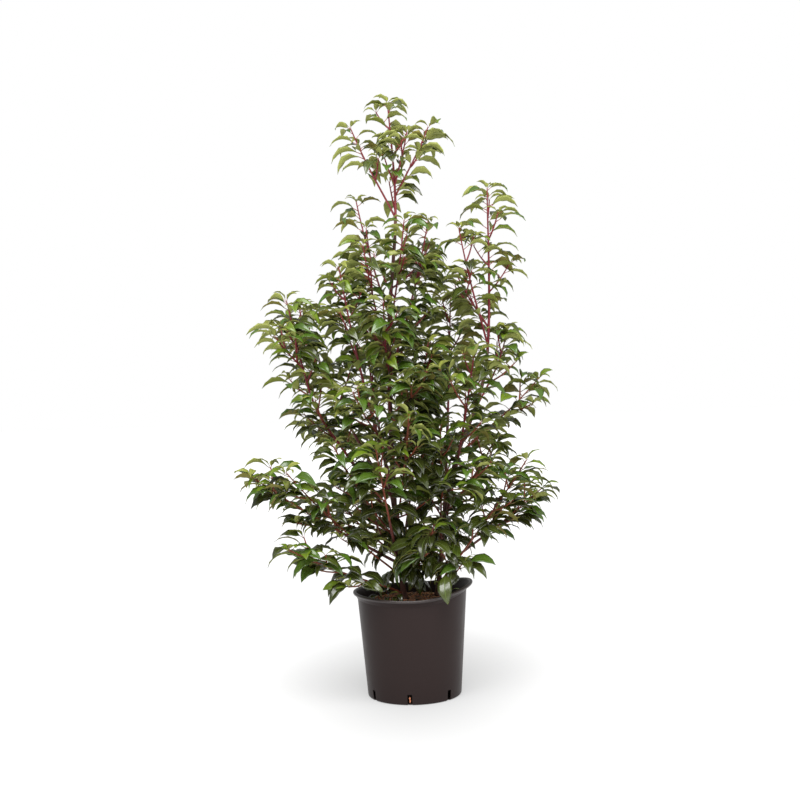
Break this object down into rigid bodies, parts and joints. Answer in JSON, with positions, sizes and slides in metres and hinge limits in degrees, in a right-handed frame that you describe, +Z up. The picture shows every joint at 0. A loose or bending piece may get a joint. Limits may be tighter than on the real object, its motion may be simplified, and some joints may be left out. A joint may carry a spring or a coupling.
{
  "type": "potted portuguese laurel",
  "caption": "Upright bushy evergreen shrub with red shoots and glossy drooping pointed leaves, standing in a plain black nursery pot filled with potting soil",
  "frame": {"origin": "middle of the pot's flat underside, on the surface it stands on", "axes": "+Z up along the stems, -Y towards the viewer of the picture, +X to the viewer's right"},
  "size_m": [0.8281, 0.6483, 1.5337],
  "materials": {
    "pot_plastic": "satin moulded polypropylene",
    "potting_soil": "loose bark compost",
    "bark": "smooth young bark, brown below and red above",
    "foliage": "glossy leathery leaves"
  },
  "bodies": {
    "root": {"front_foot_shoot_leaves": "foliage", "front_left_shoot_leaves": "foliage", "front_low_shoot_leaves": "foliage", "front_middle_shoot_leaves": "foliage", "front_right_bough": "bark", "front_right_bough_leaves": "foliage", "front_right_bough_side_1_leaves": "foliage", "front_stem": "bark", "front_stem_leaves": "foliage", "inner_left_shoot_leaves": "foliage", "leader": "bark", "leader_leaves": "foliage", "leader_side_1_leaves": "foliage", "leader_side_2_leaves": "foliage", "leader_side_3_leaves": "foliage", "leader_side_4_leaves": "foliage", "left_bough": "bark", "left_bough_leaves": "foliage", "left_foot_shoot_leaves": "foliage", "left_inner_bough": "bark", "left_inner_bough_leaves": "foliage", "left_inner_bough_side_1_leaves": "foliage", "left_middle_shoot_leaves": "foliage", "left_outer_shoot_leaves": "foliage", "left_rear_bough": "bark", "left_rear_bough_leaves": "foliage", "left_rear_bough_side_1_leaves": "foliage", "low_front_left_shoot_leaves": "foliage", "low_front_right_shoot_leaves": "foliage", "low_left_bough": "bark", "low_left_bough_leaves": "foliage", "low_rear_bough": "bark", "low_rear_bough_leaves": "foliage", "low_rear_bough_side_1_leaves": "foliage", "low_right_bough": "bark", "low_right_bough_leaves": "foliage", "middle_low_shoot_leaves": "foliage", "middle_shoot_leaves": "foliage", "pot": "pot_plastic", "rear_left_bough": "bark", "rear_left_bough_leaves": "foliage", "rear_left_bough_side_1_leaves": "foliage", "rear_right_bough": "bark", "rear_right_bough_leaves": "foliage", "rear_right_bough_side_1_leaves": "foliage", "right_foot_shoot_leaves": "foliage", "right_inner_shoot_leaves": "foliage", "right_middle_shoot_leaves": "foliage", "right_outer_shoot_leaves": "foliage", "right_shoot_leaves": "foliage", "right_stem": "bark", "right_stem_leaves": "foliage", "right_upper_shoot_leaves": "foliage", "soil": "potting_soil", "top_inner_shoot_leaves": "foliage", "top_left_shoot_leaves": "foliage", "top_right_shoot_leaves": "foliage", "upper_front_shoot_leaves": "foliage", "upper_left_shoot_leaves": "foliage", "upper_right_shoot_leaves": "foliage"}
  },
  "joints": []
}
